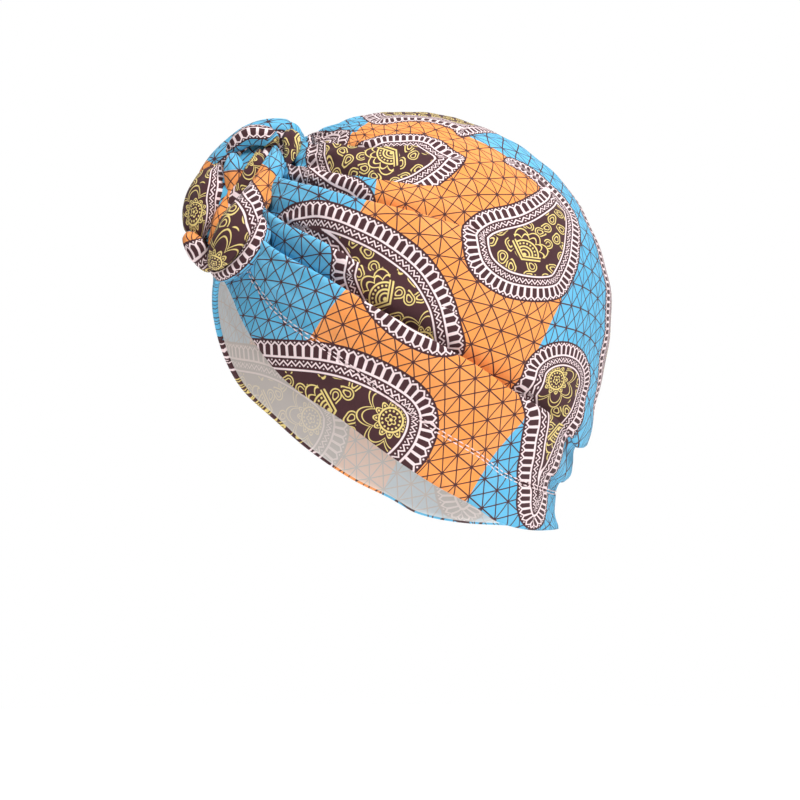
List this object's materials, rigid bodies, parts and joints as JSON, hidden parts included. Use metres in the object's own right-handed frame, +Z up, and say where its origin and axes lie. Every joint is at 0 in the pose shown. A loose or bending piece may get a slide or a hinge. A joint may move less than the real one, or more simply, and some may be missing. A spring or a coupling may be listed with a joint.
{
  "type": "turban",
  "caption": "Pre-tied head wrap: a close draped cloth crown with tucks and a peaked brow, and a rosette knot of rolled cloth on the front.",
  "frame": {"origin": "where the head bears, inside the top of the crown, above the middle of the head", "axes": "+Z up, -Y the way the wearer faces, +X to the wearer's left"},
  "size_m": [0.1582, 0.2121, 0.1994],
  "materials": {
    "crown_cloth": "printed stretch knit, matt",
    "knot_cloth": "printed stretch knit, matt"
  },
  "bodies": {
    "root": {"crown": "crown_cloth", "knot_core": "knot_cloth", "knot_front_roll": "knot_cloth", "knot_top_fold": "knot_cloth", "knot_heart_roll": "knot_cloth", "knot_low_fold": "knot_cloth", "knot_inner_roll": "knot_cloth", "knot_near_roll": "knot_cloth", "knot_far_roll": "knot_cloth", "knot_gather_fold": "knot_cloth", "knot_side_roll": "knot_cloth", "knot_under_roll": "knot_cloth"}
  },
  "joints": []
}
